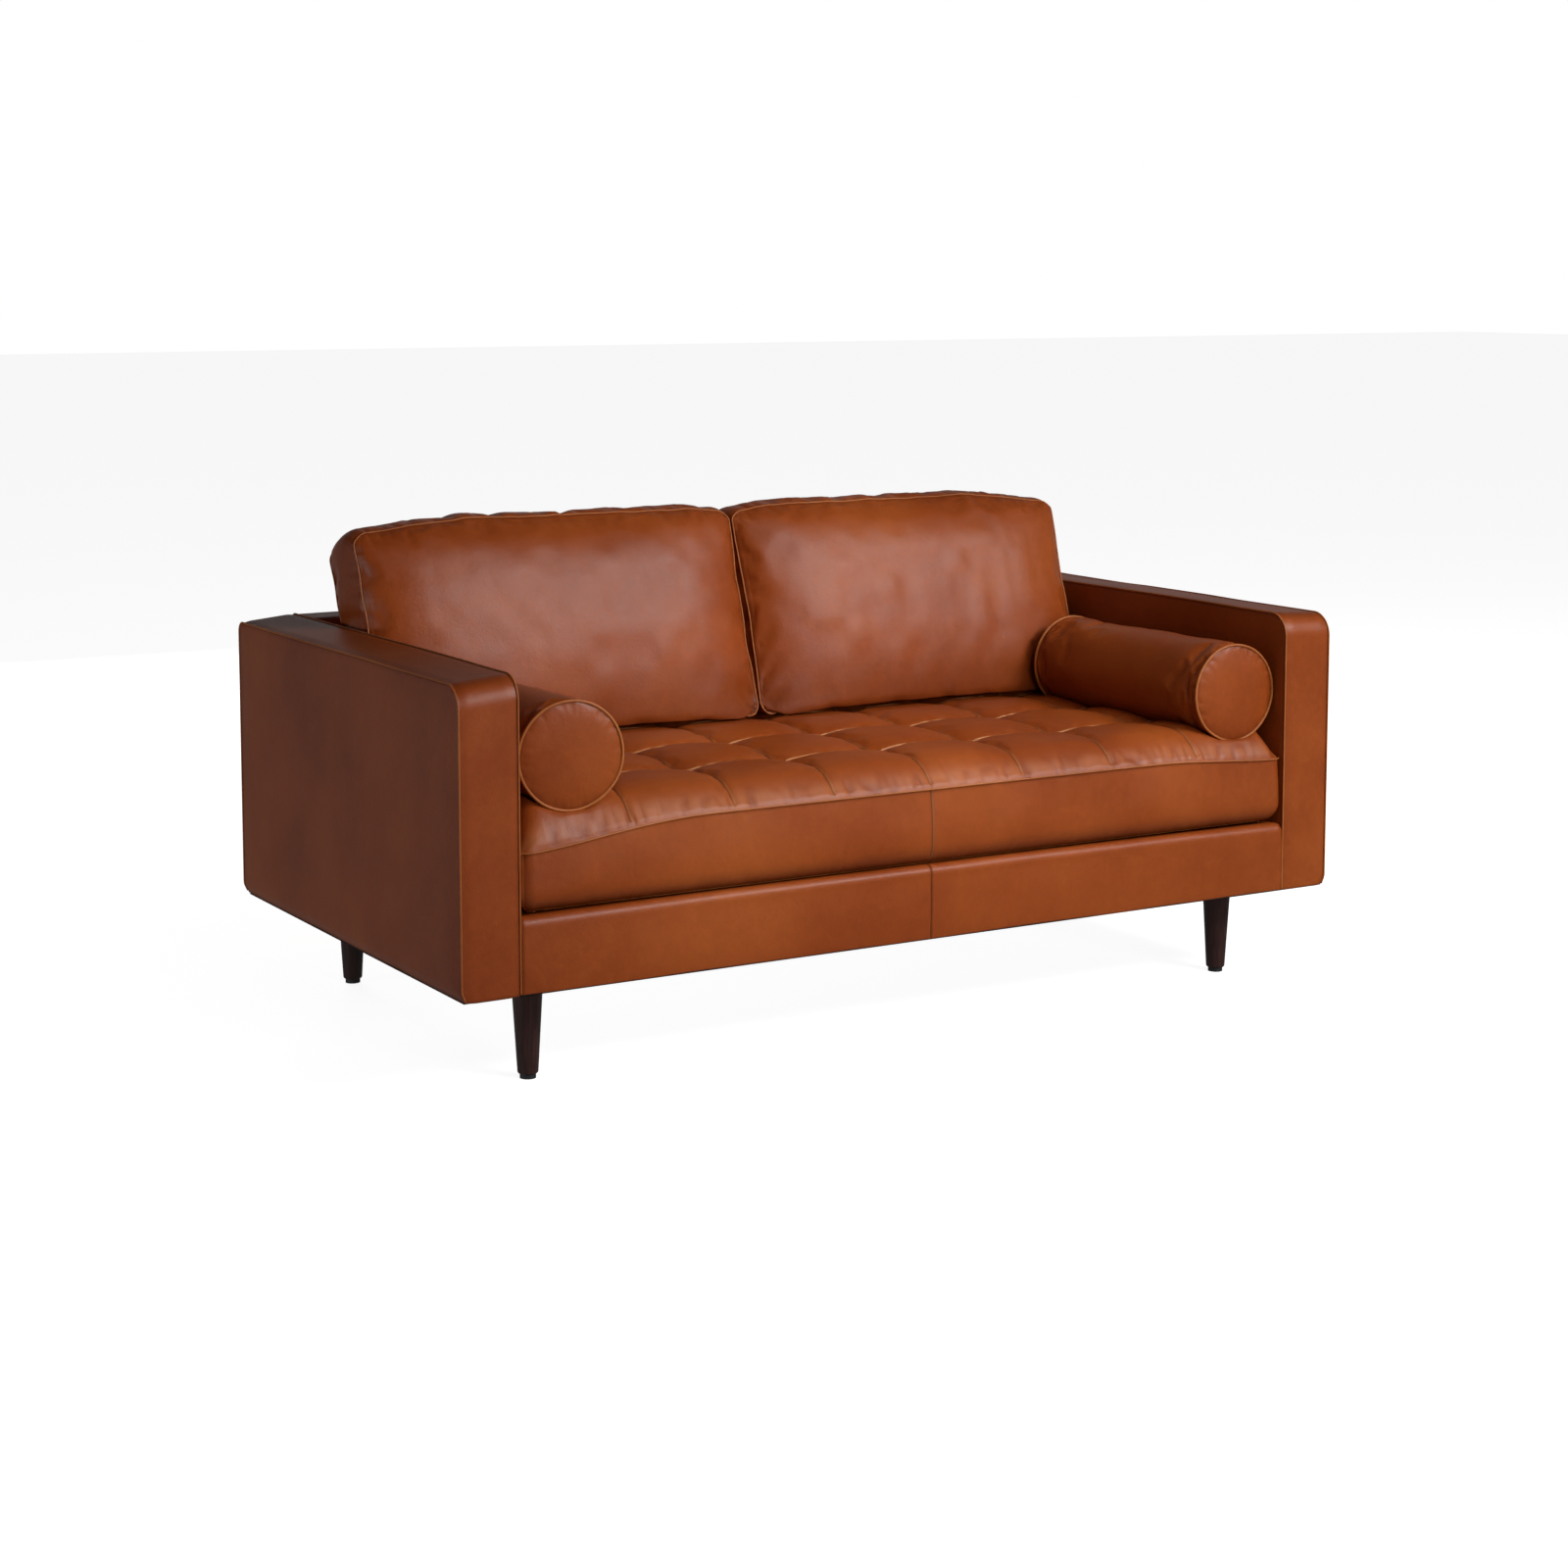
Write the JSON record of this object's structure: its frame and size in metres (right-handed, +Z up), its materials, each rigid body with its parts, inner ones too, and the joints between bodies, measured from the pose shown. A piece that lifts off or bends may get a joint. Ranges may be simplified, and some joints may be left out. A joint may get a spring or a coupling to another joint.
{
  "type": "two-seat sofa",
  "caption": "Two-seat box-arm sofa in tan leather with a tufted bench cushion, loose back cushions, bolsters and tapered dark wooden legs.",
  "frame": {"origin": "on the floor, under the centre of the sofa", "axes": "+X along the seat to the right as seen from the front, +Y from the front to the back, +Z up"},
  "size_m": [1.8324, 1.0024, 0.8961],
  "materials": {
    "leather": "satin",
    "piping": "satin",
    "leg_wood": "satin",
    "frame_wood": "matte",
    "fibreboard": "matte",
    "foam": "matte",
    "fill": "matte",
    "cloth": "matte",
    "webbing": "matte",
    "steel": "satin",
    "zip": "satin",
    "glide": "matte"
  },
  "bodies": {
    "frame": {"left_arm_cover": "leather", "left_arm_piping": "piping", "left_arm_padding": "foam", "left_arm_panels": "fibreboard", "left_arm_posts": "frame_wood", "left_arm_rails": "frame_wood", "right_arm_cover": "leather", "right_arm_piping": "piping", "right_arm_padding": "foam", "right_arm_panels": "fibreboard", "right_arm_posts": "frame_wood", "right_arm_rails": "frame_wood", "front_rail": "frame_wood", "rear_rail": "frame_wood", "seat_side_rails": "frame_wood", "spring_rail": "frame_wood", "centre_brace": "frame_wood", "corner_blocks": "frame_wood", "seat_springs": "steel", "spring_clips": "steel", "spring_insulator": "foam", "deck_cover": "cloth", "front_rail_padding": "foam", "front_rail_cover": "leather", "dust_cover": "cloth", "back_rails": "frame_wood", "back_posts": "frame_wood", "back_board": "fibreboard", "back_webbing": "webbing", "back_padding": "foam", "back_cover": "leather", "front_left_leg": "leg_wood", "front_right_leg": "leg_wood", "rear_left_leg": "leg_wood", "rear_right_leg": "leg_wood", "leg_bolts": "steel", "tee_nuts": "steel", "glides": "glide", "arm_bolts": "steel"},
    "seat_cushion": {"seat_cushion_cover": "leather", "seat_cushion_core": "foam", "seat_cushion_piping": "piping", "seat_cushion_zip": "zip"},
    "left_back_cushion": {"left_back_cushion_cover": "leather", "left_back_cushion_fill": "fill", "left_back_cushion_piping": "piping", "left_back_cushion_zip": "zip"},
    "right_back_cushion": {"right_back_cushion_cover": "leather", "right_back_cushion_fill": "fill", "right_back_cushion_piping": "piping", "right_back_cushion_zip": "zip"},
    "left_bolster": {"left_bolster_cover": "leather", "left_bolster_fill": "fill", "left_bolster_piping": "piping", "left_bolster_zip": "zip"},
    "right_bolster": {"right_bolster_cover": "leather", "right_bolster_fill": "fill", "right_bolster_piping": "piping", "right_bolster_zip": "zip"}
  },
  "joints": [
    {"name": "seat_cushion_lift", "type": "slide", "parent": "frame", "child": "seat_cushion", "axis": [0, 0, 1], "range_m": [0, 0.45]},
    {"name": "left_back_cushion_lift", "type": "slide", "parent": "seat_cushion", "child": "left_back_cushion", "axis": [0, 0, 1], "range_m": [0, 0.3]},
    {"name": "right_back_cushion_lift", "type": "slide", "parent": "seat_cushion", "child": "right_back_cushion", "axis": [0, 0, 1], "range_m": [0, 0.3]},
    {"name": "left_bolster_lift", "type": "slide", "parent": "seat_cushion", "child": "left_bolster", "axis": [0, 0, 1], "range_m": [0, 0.3]},
    {"name": "right_bolster_lift", "type": "slide", "parent": "seat_cushion", "child": "right_bolster", "axis": [0, 0, 1], "range_m": [0, 0.3]}
  ]
}
